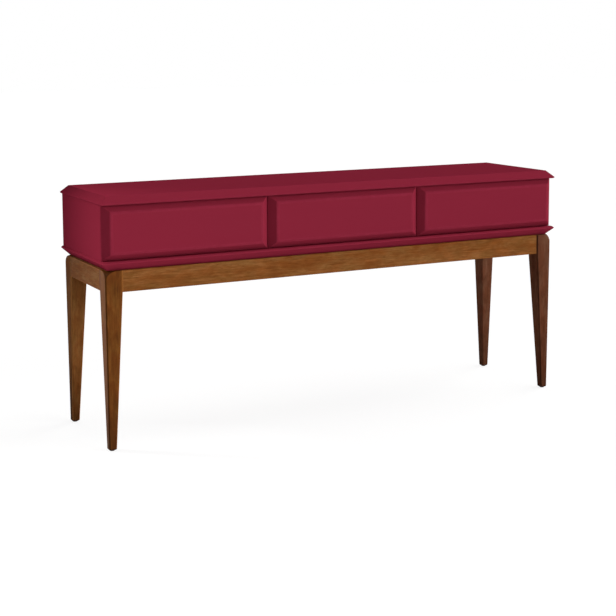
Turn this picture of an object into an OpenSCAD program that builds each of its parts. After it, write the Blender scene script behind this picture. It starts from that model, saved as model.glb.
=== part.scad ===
// Three-drawer console table: a lacquered case between two chamfered slabs, on a wooden base
// with tapered legs. The frame is in millimetres, +Z up and +X to the right seen from the front.
// The drawers open towards -Y, and the origin is on the floor under the middle of the table.

/* [Overall] */
// Width of the case over its end panels
case_w = 1700; // [1300:10:2200]
// Depth of the table over the edges of its slabs
body_d = 420; // [400:5:520]
// Height of the table from the floor to its top
overall_h = 800; // [740:5:900]

/* [Slabs] */
// How far the slabs stand out past the case at the ends and at the back
slab_overhang = 6; // [4:1:12]
// Thickness of the top panel
top_t = 25; // [24:1:40]
// Thickness of the bottom panel
bottom_t = 30; // [29:1:45]
// Large 45 degree chamfer round both slabs
slab_chamfer = 23; // [10:1:23]
// Small bevel on the upper edge of the bottom panel
bottom_wash = 5; // [2:1:6]

/* [Carcass] */
// Thickness of the end panels
end_t = 18; // [16:1:25]
// Thickness of the partitions between the drawers
partition_t = 18; // [17:1:25]
// Thickness of the back panel
back_t = 6; // [3:1:9]
// Width of the rebate that holds the back panel in an end panel
back_lap = 9; // [6:1:12]
// Radius of the dowels that join the carcass
dowel_r = 4; // [3:0.5:5]
// Depth of a carcass dowel in the edge of an upright
dowel_in_upright = 20; // [12:1:30]
// Depth of a carcass dowel in a slab
dowel_in_slab = 12; // [8:1:18]
// Distance of the carcass dowels from the front and back edges of an upright
dowel_inset = 40; // [25:1:80]

/* [Drawer fronts] */
// Thickness of a drawer front
front_t = 25; // [24:1:35]
// Width of the bevels at the two ends of a drawer front
front_bevel_x = 24; // [10:1:28]
// Width of the bevels along the upper and lower edges of a drawer front
front_bevel_z = 20.5; // [10:0.5:28]
// Depth of the bevels round a drawer front
front_bevel_d = 22; // [8:1:23]
// Gap between two neighbouring fronts
front_gap = 3; // [2:0.5:4]
// Gap between a front and the slabs above and below it
front_reveal = 3.5; // [2:0.5:6]
// How far the faces of the fronts lie behind the slab edges
front_set_back = 1; // [0:0.5:6]
// Thickness of the soft buffers behind a front
buffer_t = 1.5; // [1:0.25:3]
// Radius of the soft buffers
buffer_r = 3.5; // [2:0.25:3.5]

/* [Drawer boxes] */
// Thickness of the sides and the back of a drawer
box_t = 15; // [12:1:18]
// Height of a drawer box above the bottom panel
box_lift = 14; // [8:1:30]
// Space between a drawer box and the top panel
box_top_gap = 43; // [20:1:60]
// Space between a drawer box and the back panel
box_back_gap = 32; // [20:1:60]
// Thickness of a drawer bottom
tray_t = 6; // [3:1:9]
// Height of the drawer bottom above the lower edge of its box
tray_lift = 10; // [6:1:16]
// Depth of the groove that holds a drawer bottom
groove_d = 6; // [4:0.5:8]
// Radius of the dowels in a drawer
box_dowel_r = 3; // [2.5:0.5:4]
// Length of travel of a drawer
travel = 300; // [200:5:310]

/* [Slides] */
// Space for a slide between a drawer and its upright
slide_gap = 13; // [12.5:0.5:16]
// Space between the end of a slide and the back panel
slide_back_gap = 37.5; // [34:0.5:60]
// Height of a slide
slide_h = 45; // [40:1:60]
// Thickness of the slide's sheet steel
sheet_t = 1.2; // [1:0.1:1.6]
// Radius inside the folds of the sheet
fold_r = 0.6; // [0.3:0.1:1]
// How far a slide lies behind the front edge of the carcass
slide_set_back = 3; // [1:0.5:10]

/* [Base] */
// Height of the wooden base with its glides
base_h = 568; // [450:1:630]
// Width of a leg at the top
leg_w = 55; // [50:1:70]
// Width of a leg at the foot
foot_w = 23; // [20:1:36]
// Bevel round the lower end of a foot
foot_ease = 2.5; // [1:0.5:4]
// How far the outer faces of a leg lean inwards at the foot
leg_lean = 5; // [0:1:12]
// Distance of the legs' outer faces from the slab ends
leg_inset_x = 11; // [4:1:40]
// Distance of the legs' outer faces from the front and back slab edges
leg_inset_y = 6; // [2:1:30]
// Chamfer of a leg's front and outer edges
leg_chamfer = 4; // [2:0.5:6]
// Radius of the rounded shoulder at a leg's outer corner
shoulder_r = 28; // [12:1:34]
// Angle through which the shoulder turns
shoulder_sweep = 75; // [45:1:85]
// Height of the aprons
apron_h = 66; // [60:1:110]
// Thickness of the aprons
apron_t = 24; // [20:1:28]
// How far the front and back aprons lie behind the legs' faces
apron_set_back = 5; // [2:0.5:12]
// Radius of the eased outer edges of the front and back aprons
apron_ease = 3; // [1:0.5:6]
// Length of the tenons on the aprons
tenon_l = 20; // [12:1:22]
// Thickness of the tenons
tenon_t = 10; // [8:1:14]
// Shoulder above and below a tenon
tenon_shoulder = 12; // [8:1:20]
// Thickness of a corner block, measured across its slanted faces
block_t = 30; // [26:1:40]
// Height of a corner block
block_h = 40; // [30:1:50]
// Radius of a foot glide
glide_r = 8; // [6:0.5:10]
// Thickness of a foot glide below the foot
glide_t = 3; // [2:0.5:6]
// Length of a glide's stem
glide_stem_l = 14; // [8:1:25]

/* [Fasteners] */
// Shank radius of the small screws
screw_r = 1.75; // [1.5:0.25:2]
// Head radius of the small screws
screw_head_r = 3.4; // [3:0.1:4]
// Head height of the small screws
screw_head_h = 2; // [1.5:0.1:2.4]
// Depth of a slide screw in the wood
slide_screw_in = 8; // [6:0.5:8]
// Depth of a back panel screw in an upright
back_screw_in = 14; // [8:1:20]
// Shank radius of the base screws
base_screw_r = 2.5; // [2:0.25:3]
// Head radius of the base screws
base_screw_head_r = 4.5; // [4:0.25:5]
// Head height of the base screws
base_screw_head_h = 3; // [2:0.25:4]
// Depth of a case screw in the bottom panel
case_screw_in = 18; // [10:1:22]
// Depth of a block screw in an apron
block_screw_in = 15; // [10:1:18]

/* [Hidden] */
// Facets of the small fasteners, holes and folds, and of the rounded shapes that show
$fn = 8;
arc_fn = 48;
drawer_n = 3;

// Clearances
dowel_fit = 0.05;
dowel_end = 0.5;
groove_fit = 0.2;
tenon_fit = 0.1;
bearing_fit = 0.3;
block_clear = 2;
cut = 1;

// Heights
z_floor = base_h + bottom_t;
z_top = overall_h - top_t;
front_h = z_top - z_floor - 2 * front_reveal;
front_z = (z_floor + z_top) / 2;
box_z = z_floor + box_lift;
box_h = z_top - box_top_gap - box_z;
tray_z = box_z + tray_lift;
slide_z = box_z + box_h / 2;

// Depths
y_edge = body_d / 2;
y_front_back = front_set_back + front_t - y_edge;
y_case = y_front_back + buffer_t;
y_case_back = y_edge - slab_overhang;
y_back_panel = y_case_back - back_t;
y_box_back = y_back_panel - box_back_gap;
box_l = y_box_back - y_front_back;
slide_y = y_case + slide_set_back;
slide_l = y_back_panel - slide_back_gap - slide_y;

// Widths
slab_l = case_w + 2 * slab_overhang;
front_w = (case_w - (drawer_n - 1) * front_gap) / drawer_n;
function front_x(i) = -case_w / 2 + i * (front_w + front_gap) + front_w / 2;
function partition_x(i) = (front_x(i) + front_x(i + 1)) / 2;
function bay_left(i) = i == 0 ? end_t - case_w / 2 : partition_x(i - 1) + partition_t / 2;
function bay_right(i) = i == drawer_n - 1 ? case_w / 2 - end_t : partition_x(i) - partition_t / 2;
function box_left(i) = bay_left(i) + slide_gap;
function box_right(i) = bay_right(i) - slide_gap;

// Slide section, counted from the upright: outer member, middle member, drawer member
outer_depth = 0.75 * slide_gap;
middle_x = 0.4 * slide_gap;
middle_depth = 0.45 * slide_gap;
inner_depth = 0.42 * slide_gap;
ball_outer = 4.8;
ball_inner = 4.4;
outer_half = slide_h / 2;
middle_half = outer_half - sheet_t - ball_outer;
inner_half = middle_half - sheet_t - ball_inner;
cage_l = slide_l - travel / 2 - 2 * slide_set_back;
outer_screws = [for (s = [0.1, 0.5, 0.9]) slide_y + s * slide_l];
inner_screws = [for (s = [0.2, 0.8]) slide_y + s * slide_l];

// Drawer dowels, at shares of the height between a drawer's bottom and the upper edge of its box
box_dowel_low = tray_z + tray_t;
box_dowel_heights = [for (s = [2 / 13, 9 / 13]) box_dowel_low + s * (box_z + box_h - box_dowel_low)];

// Base
leg_x = slab_l / 2 - leg_inset_x;
leg_y = y_edge - leg_inset_y;
apron_z = base_h - apron_h;
front_apron_y = leg_y - apron_set_back - apron_t;
side_apron_x = leg_x - apron_t;
inner_lean = leg_w - leg_lean - foot_w;
foot_centre = leg_lean + foot_w / 2;
// How far above the aprons' lower edge the long chamfers start to lean
chamfer_run = 10;
// How far the arc of a shoulder stands out past the chamfer that it cuts off
shoulder_bite = 0.2;
shoulder_h = shoulder_r * sin(shoulder_sweep);
block_near = 2 * (leg_w - apron_t) - apron_set_back + block_clear;
block_far = block_near + block_t * sqrt(2);
block_mid = (block_near + block_far) / 2;
block_z = base_h - block_h;
block_screw_head = block_t / 4;
glide_stem_r = 2.5;
counterbore = base_screw_head_h + 4;

// Finishes
module lacquer() { color([0.51, 0.14, 0.21]) children(); }
module wood() { color([0.46, 0.28, 0.14]) children(); }
module birch() { color([0.83, 0.72, 0.55]) children(); }
module steel() { color([0.70, 0.71, 0.73]) children(); }
module clear_rubber() { color([0.85, 0.85, 0.82]) children(); }
module dark_plastic() { color([0.17, 0.11, 0.08]) children(); }

// Extrusions of an x-z outline along Y and of a y-z outline along X
module along_y(y, l) { translate([0, y + l, 0]) rotate([90, 0, 0]) linear_extrude(l) children(); }
module along_x(x, l) { translate([x, 0, 0]) rotate([90, 0, 90]) linear_extrude(l) children(); }

// Copies of the front left corner at the four corners of the table
module at_corners() {
  for (turn_x = [false, true]) for (turn_y = [false, true]) corner(turn_x, turn_y) children();
}

module corner(turn_x, turn_y) {
  mirror([turn_x ? 1 : 0, 0, 0]) mirror([0, turn_y ? 1 : 0, 0]) children();
}

// Screw that points down, with the underside of its head at z = 0
module screw(r, l, head_r, head_h) {
  cylinder(r = head_r, h = head_h);
  translate([0, 0, -l]) cylinder(r = r, h = l + head_h / 2);
}

module small_screw(l) { screw(screw_r, l, screw_head_r, screw_head_h); }

module base_screw(l) { screw(base_screw_r, l, base_screw_head_r, base_screw_head_h); }

module screw_hole(r, l) { translate([0, 0, -l]) cylinder(r = r + dowel_fit, h = l + cut); }

// Outline of a board's edge: low and high are the [run, rise] of its lower and upper bevels
function board_edge(w, t, low, high) = concat(
  low[0] > 0 ? [[-w / 2, low[1]], [low[0] - w / 2, 0], [w / 2 - low[0], 0], [w / 2, low[1]]]
             : [[-w / 2, 0], [w / 2, 0]],
  high[0] > 0 ? [[w / 2, t - high[1]], [w / 2 - high[0], t], [high[0] - w / 2, t], [-w / 2, t - high[1]]]
              : [[w / 2, t], [-w / 2, t]]);

// Board with mitred bevels: ends and sides are the [low, high] bevels of its ends and of its long sides
module board(w, d, t, ends, sides) {
  intersection() {
    along_y(-d / 2, d) polygon(board_edge(w, t, ends[0], ends[1]));
    along_x(-w / 2, w) polygon(board_edge(d, t, sides[0], sides[1]));
  }
}

// Case
upright_centres = concat(
  [(end_t - case_w) / 2],
  [for (i = [0 : drawer_n - 2]) partition_x(i)],
  [(case_w - end_t) / 2]);

module case_dowel_set(grow, end) {
  for (x = upright_centres, y = [y_case + dowel_inset, y_back_panel - dowel_inset]) {
    translate([x, y, z_floor - dowel_in_slab - end])
      cylinder(r = dowel_r + grow, h = dowel_in_slab + dowel_in_upright + 2 * end);
    translate([x, y, z_top - dowel_in_upright - end])
      cylinder(r = dowel_r + grow, h = dowel_in_slab + dowel_in_upright + 2 * end);
  }
}

module case_dowels() { birch() case_dowel_set(0, 0); }

module dowel_holes() { case_dowel_set(dowel_fit, dowel_end); }

module top_panel() {
  edge = [[0, 0], [slab_chamfer, slab_chamfer]];
  lacquer() difference() {
    translate([0, 0, z_top]) board(slab_l, body_d, top_t, edge, edge);
    dowel_holes();
  }
}

module bottom_panel() {
  edge = [[slab_chamfer, slab_chamfer], [bottom_wash, bottom_wash]];
  lacquer() difference() {
    translate([0, 0, base_h]) board(slab_l, body_d, bottom_t, edge, edge);
    dowel_holes();
    at_corners() case_screw_place() screw_hole(base_screw_r, case_screw_in + block_h);
  }
}

// Screws of one slide, on the left upright of bay i or, mirrored, on its right upright
module in_bay(i) {
  translate([bay_left(i), 0, slide_z]) children();
  translate([bay_right(i), 0, slide_z]) mirror([1, 0, 0]) children();
}

module outer_screw_places() {
  for (y = outer_screws) translate([sheet_t, y, 0]) rotate([0, 90, 0]) children();
}

module inner_screw_places() {
  for (y = inner_screws) translate([slide_gap - sheet_t, y, 0]) rotate([0, -90, 0]) children();
}

module slide_screw_holes() {
  for (i = [0 : drawer_n - 1])
    in_bay(i) outer_screw_places() screw_hole(screw_r, slide_screw_in + sheet_t);
}

// The screws at the ends go through the middle of the rebates
back_screw_end = (case_w - back_lap - end_t) / 2;
back_screw_xs = concat(
  [-back_screw_end],
  [for (i = [0 : drawer_n - 2]) partition_x(i)],
  [back_screw_end]);

module back_screw_places() {
  for (x = back_screw_xs, z = [z_floor + dowel_inset, z_top - dowel_inset])
    translate([x, y_case_back, z]) rotate([-90, 0, 0]) children();
}

module back_panel_screws() { steel() back_screw_places() small_screw(back_t + back_screw_in); }

module back_screw_holes() { back_screw_places() screw_hole(screw_r, back_t + back_screw_in); }

// The panel of the left end: the right end is its mirror image
module left_end_panel() {
  lacquer() difference() {
    translate([-case_w / 2, y_case, z_floor]) cube([end_t, y_case_back - y_case, z_top - z_floor]);
    translate([back_lap - case_w / 2, y_back_panel, z_floor - cut])
      cube([end_t, back_t + cut, z_top - z_floor + 2 * cut]);
    dowel_holes();
    slide_screw_holes();
    back_screw_holes();
  }
}

module right_end_panel() { mirror([1, 0, 0]) left_end_panel(); }

module partition(i) {
  lacquer() difference() {
    translate([partition_x(i) - partition_t / 2, y_case, z_floor])
      cube([partition_t, y_back_panel - y_case, z_top - z_floor]);
    dowel_holes();
    slide_screw_holes();
    back_screw_holes();
  }
}

module back_panel() {
  lacquer() difference() {
    translate([back_lap - case_w / 2, y_back_panel, z_floor])
      cube([case_w - 2 * back_lap, back_t, z_top - z_floor]);
    back_screw_holes();
  }
}

// Slides
// Folded section with its web at x = 0: rounded at the folds and square at its mouth
module fold_outline(depth, half, r) {
  hull() {
    for (side = [-1, 1]) translate([r, side * (half - r)]) circle(r);
    translate([r, -half]) square([depth - r, 2 * half]);
  }
}

module channel(x, depth, half) {
  translate([x, 0]) difference() {
    fold_outline(depth, half, fold_r + sheet_t);
    translate([sheet_t, 0]) fold_outline(depth, half - sheet_t, fold_r);
  }
}

module slide_outer(i) {
  steel() in_bay(i) difference() {
    along_y(slide_y, slide_l) channel(0, outer_depth, outer_half);
    outer_screw_places() screw_hole(screw_r, slide_screw_in);
  }
}

module slide_case_screws() {
  steel() for (i = [0 : drawer_n - 1])
    in_bay(i) outer_screw_places() small_screw(slide_screw_in + sheet_t);
}

module slide_middle(i) {
  steel() in_bay(i) along_y(slide_y, slide_l) channel(middle_x, middle_depth, middle_half);
}

// The ball cages ride on the middle member: the outer pair at its back, the inner pair at its front
module slide_cages(i) {
  steel() in_bay(i) for (side = [-1, 1]) scale([1, 1, side]) {
    translate([middle_x, slide_y + slide_l - slide_set_back - cage_l, middle_half])
      cube([outer_depth - middle_x, cage_l, ball_outer - bearing_fit]);
    translate([slide_gap - inner_depth, slide_y + slide_set_back, inner_half + bearing_fit])
      cube([middle_x + middle_depth - slide_gap + inner_depth, cage_l, ball_inner - bearing_fit]);
  }
}

module slide_inner(i) {
  steel() in_bay(i) difference() {
    along_y(slide_y, slide_l) translate([slide_gap, 0]) mirror([1, 0]) channel(0, inner_depth, inner_half);
    inner_screw_places() screw_hole(screw_r, slide_screw_in);
  }
}

module drawer_slide_screws(i) {
  steel() in_bay(i) inner_screw_places() small_screw(slide_screw_in + sheet_t);
}

// Drawers
module box_dowel_set(i, grow, end) {
  in_front = front_t / 2;
  in_wood = box_t + in_front / 2;
  for (z = box_dowel_heights) {
    for (x = [box_left(i) + box_t / 2, box_right(i) - box_t / 2])
      translate([x, y_front_back - in_front - end, z]) rotate([-90, 0, 0])
        cylinder(r = box_dowel_r + grow, h = in_front + in_wood + 2 * end);
    translate([box_left(i) + box_t / 3 - end, y_box_back - box_t / 2, z]) rotate([0, 90, 0])
      cylinder(r = box_dowel_r + grow, h = box_t * 2 / 3 + in_wood + 2 * end);
    translate([box_right(i) - box_t / 3 + end, y_box_back - box_t / 2, z]) rotate([0, -90, 0])
      cylinder(r = box_dowel_r + grow, h = box_t * 2 / 3 + in_wood + 2 * end);
  }
}

module drawer_dowels(i) { birch() box_dowel_set(i, 0, 0); }

module box_dowel_holes(i) { box_dowel_set(i, dowel_fit, dowel_end); }

// The groove round the drawer bottom, or the bottom itself with short = groove_fit and high = 0
module tray(i, short, high) {
  reach = groove_d - short;
  translate([box_left(i) + box_t - reach, y_front_back - reach, tray_z])
    cube([box_right(i) - box_left(i) - 2 * (box_t - reach), box_l - box_t + 2 * reach, tray_t + high]);
}

module drawer_bottom(i) { birch() tray(i, groove_fit, 0); }

module drawer_front(i) {
  ends = [[0, 0], [front_bevel_x, front_bevel_d]];
  sides = [[0, 0], [front_bevel_z, front_bevel_d]];
  lacquer() difference() {
    translate([front_x(i), y_front_back, front_z]) rotate([90, 0, 0])
      board(front_w, front_h, front_t, ends, sides);
    tray(i, 0, groove_fit);
    box_dowel_holes(i);
  }
}

module box_side(i, x) {
  birch() difference() {
    translate([x, y_front_back, box_z]) cube([box_t, box_l, box_h]);
    tray(i, 0, groove_fit);
    box_dowel_holes(i);
    in_bay(i) inner_screw_places() screw_hole(screw_r, slide_screw_in + sheet_t);
  }
}

module drawer_back(i) {
  birch() difference() {
    translate([box_left(i) + box_t, y_box_back - box_t, box_z])
      cube([box_right(i) - box_left(i) - 2 * box_t, box_t, box_h]);
    tray(i, 0, groove_fit);
    box_dowel_holes(i);
  }
}

module drawer_buffers(i) {
  buffer_inset = (partition_t - front_gap) / 4;
  clear_rubber()
    for (x = [bay_left(i) - buffer_inset, bay_right(i) + buffer_inset], side = [-1, 1])
      translate([x, y_front_back, front_z + side * (front_h / 2 - front_bevel_z)]) rotate([-90, 0, 0])
        cylinder(r = buffer_r, h = buffer_t);
}

// Base
// Side view of a leg's tapered stretch, from its outer edge inwards: the same on both sides
module leg_outline() {
  rise = foot_ease / (apron_z - glide_t);
  polygon([[leg_lean + foot_ease, glide_t], [leg_lean + foot_w - foot_ease, glide_t],
           [leg_lean + foot_w + inner_lean * rise, glide_t + foot_ease], [leg_w, apron_z],
           [0, apron_z], [leg_lean * (1 - rise), glide_t + foot_ease]]);
}

// Waste of a chamfer that follows a leaning edge of the leg. The edge passes [x, y] at the height z,
// turn points out of the leg there, and drift is how far the edge leans inwards down to the foot.
module leaning_chamfer(x, y, z, turn, drift) {
  l = apron_z - glide_t;
  translate([x, y, z]) rotate([0, 0, turn])
    translate([-leg_chamfer / sqrt(2), 0, 0]) rotate([0, atan(drift / l), 0])
      translate([0, -leg_w, -2 * l]) cube([leg_w, 2 * leg_w, 2 * l + cut]);
}

// The tapered stretch under the aprons, with chamfers on the two edges that stop at the aprons
module tapered_leg() {
  difference() {
    intersection() {
      along_y(0, leg_w) leg_outline();
      along_x(0, leg_w) leg_outline();
    }
    leaning_chamfer(0, leg_w, apron_z, 135, (leg_lean + inner_lean) / sqrt(2));
    leaning_chamfer(leg_w, leg_w, apron_z, 45, inner_lean * sqrt(2));
  }
}

// Section of a leg between the aprons, with chamfers on its two front edges
module leg_section() {
  polygon([[leg_chamfer, 0], [leg_w - leg_chamfer, 0], [leg_w, leg_chamfer], [leg_w, leg_w],
           [0, leg_w], [0, leg_chamfer]]);
}

// Waste of the rounded shoulder, swept across the outer corner
module shoulder_waste() {
  flat = leg_chamfer / sqrt(2);
  rotate([0, 0, 45]) translate([flat, 0, base_h - shoulder_h])
    along_y(-leg_w, 2 * leg_w) difference() {
      translate([-flat - cut, 0]) square([flat + cut + shoulder_r, shoulder_h + cut]);
      translate([shoulder_r - shoulder_bite, 0]) circle(shoulder_r, $fn = arc_fn);
    }
}

// Tenons of the aprons in the front left leg, or their mortises where grow is the clearance
module front_tenon(grow) {
  translate([-leg_x + leg_w - tenon_l - grow, -front_apron_y - (apron_t + tenon_t) / 2 - grow,
             apron_z + tenon_shoulder - grow])
    cube([tenon_l + grow + cut * sign(grow), tenon_t + 2 * grow, apron_h - 2 * (tenon_shoulder - grow)]);
}

module side_tenon(grow) {
  translate([-side_apron_x - (apron_t + tenon_t) / 2 - grow, -leg_y + leg_w - tenon_l - grow,
             apron_z + tenon_shoulder - grow])
    cube([tenon_t + 2 * grow, tenon_l + grow + cut * sign(grow), apron_h - 2 * (tenon_shoulder - grow)]);
}

// The front left leg: the others are its mirror images
module leg(turn_x, turn_y) {
  wood() corner(turn_x, turn_y) difference() {
    translate([-leg_x, -leg_y, 0]) difference() {
      union() {
        translate([0, 0, apron_z]) linear_extrude(apron_h) leg_section();
        tapered_leg();
      }
      leaning_chamfer(0, 0, apron_z + chamfer_run, 225, leg_lean * sqrt(2));
      leaning_chamfer(leg_w, 0, apron_z + chamfer_run, -45, (leg_lean + inner_lean) / sqrt(2));
      shoulder_waste();
    }
    front_tenon(tenon_fit);
    side_tenon(tenon_fit);
    glide_place() translate([0, 0, -cut])
      cylinder(r = glide_stem_r + dowel_fit, h = glide_t + glide_stem_l + dowel_end + cut);
  }
}

module glide_place() { translate([foot_centre - leg_x, foot_centre - leg_y, 0]) children(); }

module foot_glides() {
  dark_plastic() at_corners() glide_place() {
    cylinder(r = glide_r, h = glide_t, $fn = arc_fn);
    cylinder(r = glide_stem_r, h = glide_t + glide_stem_l);
  }
}

module eased_corner(r) {
  difference() {
    translate([-cut, -cut]) square(r + cut);
    translate([r, r]) circle(r, $fn = arc_fn);
  }
}

// Front apron with its outer edges eased: the back apron is its mirror image
module front_apron() {
  length = 2 * (leg_x - leg_w);
  wood() difference() {
    union() {
      along_x(-length / 2, length) translate([-front_apron_y - apron_t, apron_z]) difference() {
        square([apron_t, apron_h]);
        eased_corner(apron_ease);
        translate([0, apron_h]) mirror([0, 1]) eased_corner(apron_ease);
      }
      for (turn = [false, true]) corner(turn, false) front_tenon(0);
    }
    for (turn = [false, true]) corner(turn, false) front_block_screw_place()
      screw_hole(base_screw_r, block_screw_in + block_screw_head);
  }
}

module back_apron() { mirror([0, 1, 0]) front_apron(); }

// Left apron, flush with the legs' outer faces: the right apron is its mirror image
module left_apron() {
  length = 2 * (leg_y - leg_w);
  wood() difference() {
    union() {
      translate([-leg_x, -length / 2, apron_z]) cube([apron_t, length, apron_h]);
      for (turn = [false, true]) corner(false, turn) side_tenon(0);
    }
    for (turn = [false, true]) corner(false, turn) side_block_screw_place()
      screw_hole(base_screw_r, block_screw_in + block_screw_head);
  }
}

module right_apron() { mirror([1, 0, 0]) left_apron(); }

// Corner blocks behind the legs, screwed to both aprons and to the case
module block_place() { translate([-side_apron_x, -front_apron_y, block_z]) children(); }

module front_block_screw_place() {
  block_place() translate([block_mid, block_screw_head, block_h / 2]) rotate([-90, 0, 0]) children();
}

module side_block_screw_place() {
  block_place() translate([block_screw_head, block_mid, block_h / 2]) rotate([0, 90, 0]) children();
}

module case_screw_place() {
  block_place() translate([block_mid / 2, block_mid / 2, counterbore]) rotate([180, 0, 0]) children();
}

module head_pocket(r, h) { cylinder(r = r + dowel_end, h = h); }

module corner_blocks() {
  wood() at_corners() difference() {
    block_place() linear_extrude(block_h)
      polygon([[block_near, 0], [block_far, 0], [0, block_far], [0, block_near]]);
    front_block_screw_place() {
      screw_hole(base_screw_r, block_screw_in + block_screw_head);
      head_pocket(base_screw_head_r, block_far);
    }
    side_block_screw_place() {
      screw_hole(base_screw_r, block_screw_in + block_screw_head);
      head_pocket(base_screw_head_r, block_far);
    }
    case_screw_place() {
      screw_hole(base_screw_r, block_h + cut);
      head_pocket(base_screw_head_r, counterbore + cut);
    }
  }
}

module block_screws() {
  steel() at_corners() {
    front_block_screw_place() base_screw(block_screw_in + block_screw_head);
    side_block_screw_place() base_screw(block_screw_in + block_screw_head);
  }
}

module case_screws() {
  steel() at_corners() case_screw_place() base_screw(block_h - counterbore + case_screw_in);
}

top_panel();
bottom_panel();
left_end_panel();
right_end_panel();
partition(0);  // left_partition
partition(1);  // right_partition
back_panel();
case_dowels();
back_panel_screws();
leg(false, false);  // front_left_leg
leg(true, false);  // front_right_leg
leg(false, true);  // back_left_leg
leg(true, true);  // back_right_leg
front_apron();
back_apron();
left_apron();
right_apron();
corner_blocks();
block_screws();
case_screws();
foot_glides();
slide_case_screws();
for (i = [0 : drawer_n - 1]) {
  slide_outer(i);
  slide_middle(i);
  slide_cages(i);
  slide_inner(i);
  drawer_front(i);
  box_side(i, box_left(i));
  box_side(i, box_right(i) - box_t);
  drawer_back(i);
  drawer_bottom(i);
  drawer_dowels(i);
  drawer_slide_screws(i);
  drawer_buffers(i);
}
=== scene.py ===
# Looks of a three-drawer console table: a crimson lacquered case with bevelled drawer fronts, on a
# stained wooden base with tapered legs. Sizes are metres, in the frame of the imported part.
import math

import bmesh
import bpy
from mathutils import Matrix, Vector


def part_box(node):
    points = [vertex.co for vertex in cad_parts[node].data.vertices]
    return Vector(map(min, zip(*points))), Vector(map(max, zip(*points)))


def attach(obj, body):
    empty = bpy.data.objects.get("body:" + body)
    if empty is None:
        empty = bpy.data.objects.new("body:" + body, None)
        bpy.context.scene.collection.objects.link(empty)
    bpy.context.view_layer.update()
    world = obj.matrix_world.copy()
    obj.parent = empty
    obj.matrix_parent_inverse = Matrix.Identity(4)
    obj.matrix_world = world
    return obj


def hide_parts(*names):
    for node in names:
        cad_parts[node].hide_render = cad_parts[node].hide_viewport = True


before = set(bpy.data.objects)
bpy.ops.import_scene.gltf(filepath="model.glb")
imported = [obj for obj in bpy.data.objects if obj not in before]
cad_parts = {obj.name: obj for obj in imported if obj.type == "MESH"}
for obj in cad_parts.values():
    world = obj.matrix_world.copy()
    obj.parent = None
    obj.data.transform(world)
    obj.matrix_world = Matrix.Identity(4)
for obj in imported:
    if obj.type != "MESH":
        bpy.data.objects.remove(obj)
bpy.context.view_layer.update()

X, Y, Z = 0, 1, 2
LEFT, RIGHT = -1, 1
FRONT, BACK = -1, 1
DRAWERS = (1, 2, 3)

# Shapes of the lacquered pieces
SLAB_CHAMFER = 0.023
SLAB_WASH = 0.005
SLAB_EASE = 0.0009
TOP_RIM_DROP = 0.0025
TOP_RIM_BEVEL = 0.003
FRONT_BEVEL_X = 0.0265
FRONT_BEVEL_Z = 0.0215
FRONT_BEVEL_DEPTH = 0.022
FRONT_LIP_EASE = 0.0008
FRONT_FACE_EASE = 0.006
FRONT_REACH_DOWN = 0.002
FRONT_REACH_SIDE = 0.0005
BOARD_EASE = 0.001
BACK_LAP = 0.009

# Shapes of the wooden base
FOOT_W = 0.026
FOOT_ROUND = 0.0045
LEG_LEAN = 0.0035
LEG_FULLNESS = 0.0025
LEG_CHAMFER = 0.004
LEG_EASE = 0.0011
SHOULDER_R = 0.028
SHOULDER_SWEEP = math.radians(75)
SHOULDER_BITE = 0.0002
SHOULDER_CUTS = 8
APRON_DROP = 0.002
APRON_EASE = 0.003
APRON_INNER_EASE = 0.001
APRON_END_EASE = 0.0015
GLIDE_R = 0.008
GLIDE_EASE = 0.0012
GLIDE_FACETS = 40

# Shapes of the drawers, slides and screws
BOX_EASE = 0.002
BUFFER_R = 0.0035
BUFFER_DOME_SHARE = 0.7
BUFFER_FACETS = 24
SHEET = 0.0012
FOLD_R = 0.0016
OUTER_DEPTH = 0.00975
MIDDLE_DEPTH = 0.00585
CAGE_SHARE = 184 / 334
CAGE_SHEET = 0.0008
CAGE_EASE = CAGE_SHEET / 4
BALL_R = 0.00205
BALL_STEP = 0.0105
SCREW_HEAD_R = 0.0034
SCREW_HEAD_H = 0.002
SCREW_DOME = 0.6 * SCREW_HEAD_H
SCREW_FACETS = 28
RECESS_REACH = 0.56 * SCREW_HEAD_R
RECESS_HALF_W = 0.14 * SCREW_HEAD_R
RECESS_FLOOR = 0.45 * SCREW_HEAD_H
OUTER_SCREW_SHARES = (0.1, 0.5, 0.9)
INNER_SCREW_SHARES = (0.2, 0.8)
SCREW_BACK_INSET = 0.040

# Camera: place, turn in degrees, lens and sensor in millimetres, shift as a share of the frame
CAMERA_PLACE = (-2.1838, -4.1587, 1.2722)
CAMERA_TURN = (83.690, 0.264, -27.314)
CAMERA_LENS = 79.727
CAMERA_SENSOR = 36
CAMERA_SHIFT = 0.19

# How near counts as touching, how straight counts as along an axis, and which edges count as sharp
TOUCH = 1e-5
STRAIGHT = 0.9
EASE_ANGLE = math.radians(25)
CORNER_ANGLE = math.radians(60)
SMOOTH_ANGLE = math.radians(38)

# Turns that point a piece, modelled standing up, to a side or to the back
UPRIGHT = (0, 0, 0)
TO_RIGHT = (0, math.pi / 2, 0)
TO_LEFT = (0, -math.pi / 2, 0)
TO_BACK = (-math.pi / 2, 0, 0)

# Tone of an edge: 1 on worn edges, which most finishes make lighter with a painted highlight, -1 on edges
# with painted shade
EDGE_TONE = "edge_tone"
LIGHT, PLAIN, DARK = 1.0, 0.0, -1.0


# Modelling tools

def start_box(name, low, high):
    """A cube stretched between two corners, alone in the selection, with its place in its mesh."""
    low, high = Vector(low), Vector(high)
    bpy.ops.object.select_all(action="DESELECT")
    bpy.ops.mesh.primitive_cube_add(size=1, location=(low + high) / 2)
    piece = bpy.context.object
    piece.name = name
    piece.scale = high - low
    bpy.ops.object.transform_apply(location=True, rotation=True, scale=True)
    return piece


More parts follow.
